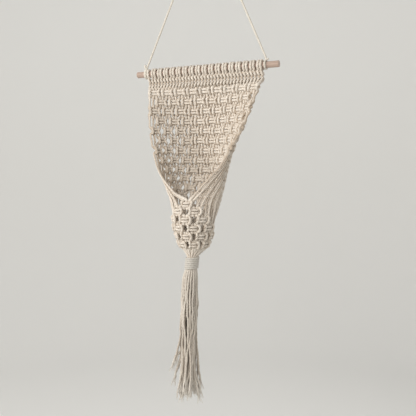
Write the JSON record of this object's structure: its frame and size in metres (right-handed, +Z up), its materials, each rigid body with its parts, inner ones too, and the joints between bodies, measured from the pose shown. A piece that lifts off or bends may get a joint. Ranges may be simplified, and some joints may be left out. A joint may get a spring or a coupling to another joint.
{
  "type": "macrame wall hanging pocket on a wooden dowel",
  "caption": "Knotted cotton net that hangs from a wooden dowel, curls forward into a pocket and ends in a wrapped tassel, with a hanging cord tied to both ends of the dowel.",
  "frame": {"origin": "the point where the hanging cord rests on its nail, on the underside of the cord's top bend", "axes": "+X along the dowel to the right as seen from the front, +Y into the wall, +Z up"},
  "size_m": [0.25, 0.0864, 0.7515],
  "materials": {
    "dowel_wood": "bare sanded wood",
    "heading_cotton": "soft twisted cotton",
    "net_cotton": "soft twisted cotton",
    "wrap_cotton": "soft twisted cotton",
    "tassel_cotton": "soft twisted cotton with unravelled ends",
    "cord_cotton": "soft twisted cotton"
  },
  "bodies": {
    "root": {"dowel": "dowel_wood", "heading": "heading_cotton", "net_pocket": "net_cotton", "gathering_wrap": "wrap_cotton", "tassel": "tassel_cotton", "hanging_cord": "cord_cotton", "cord_tie_left": "cord_cotton", "cord_tie_right": "cord_cotton"}
  },
  "joints": []
}
